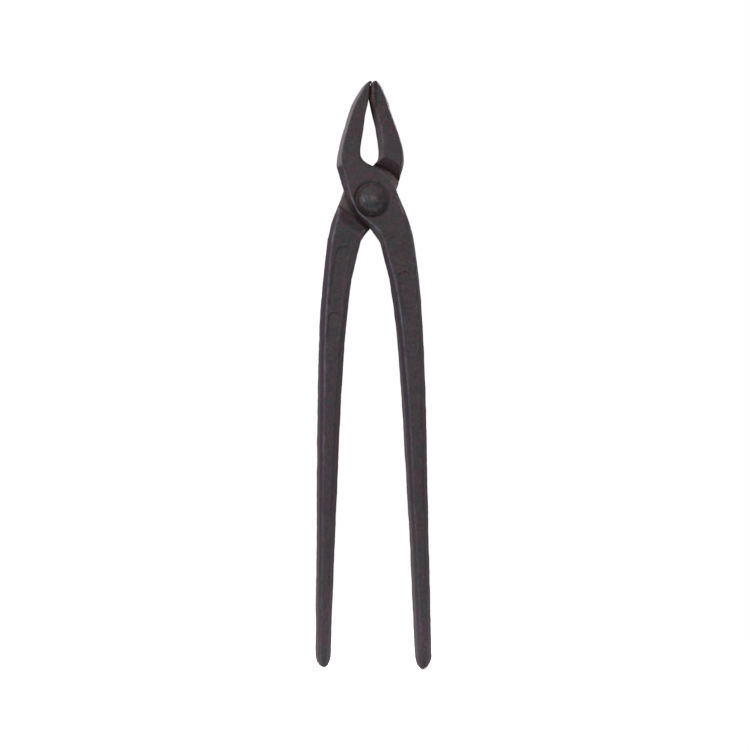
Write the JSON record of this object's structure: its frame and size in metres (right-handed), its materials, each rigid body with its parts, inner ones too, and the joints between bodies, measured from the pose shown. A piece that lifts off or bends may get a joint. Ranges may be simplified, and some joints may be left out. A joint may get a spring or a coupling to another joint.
{
  "type": "blacksmith tongs",
  "caption": "Forged blacksmith's tongs: short pointed jaws, a domed rivet at the lap joint and long tapering reins that hinge open.",
  "frame": {"origin": "on the rivet's axis, midway between the two lapped faces", "axes": "+Z along the tongs from the rivet to the jaw tips, +X to the right as seen from the domed rivet head, -Y towards that head (front)"},
  "size_m": [0.0594, 0.0245, 0.2999],
  "materials": {
    "forged_steel": "drop-forged steel left in its near-black scale, fine grain, edges rubbed brighter",
    "rivet_steel": "black forged rivet steel, dome burnished by handling, a trace of rust under its rim"
  },
  "bodies": {
    "left_jaw_half": {"left_jaw_half": "forged_steel", "rivet": "rivet_steel"},
    "right_jaw_half": {"right_jaw_half": "forged_steel"}
  },
  "joints": [
    {"name": "jaw_pivot", "type": "hinge", "parent": "left_jaw_half", "child": "right_jaw_half", "pos_m": [0, 0, 0], "axis": [0, 1, 0], "range_deg": [0, 32]}
  ]
}
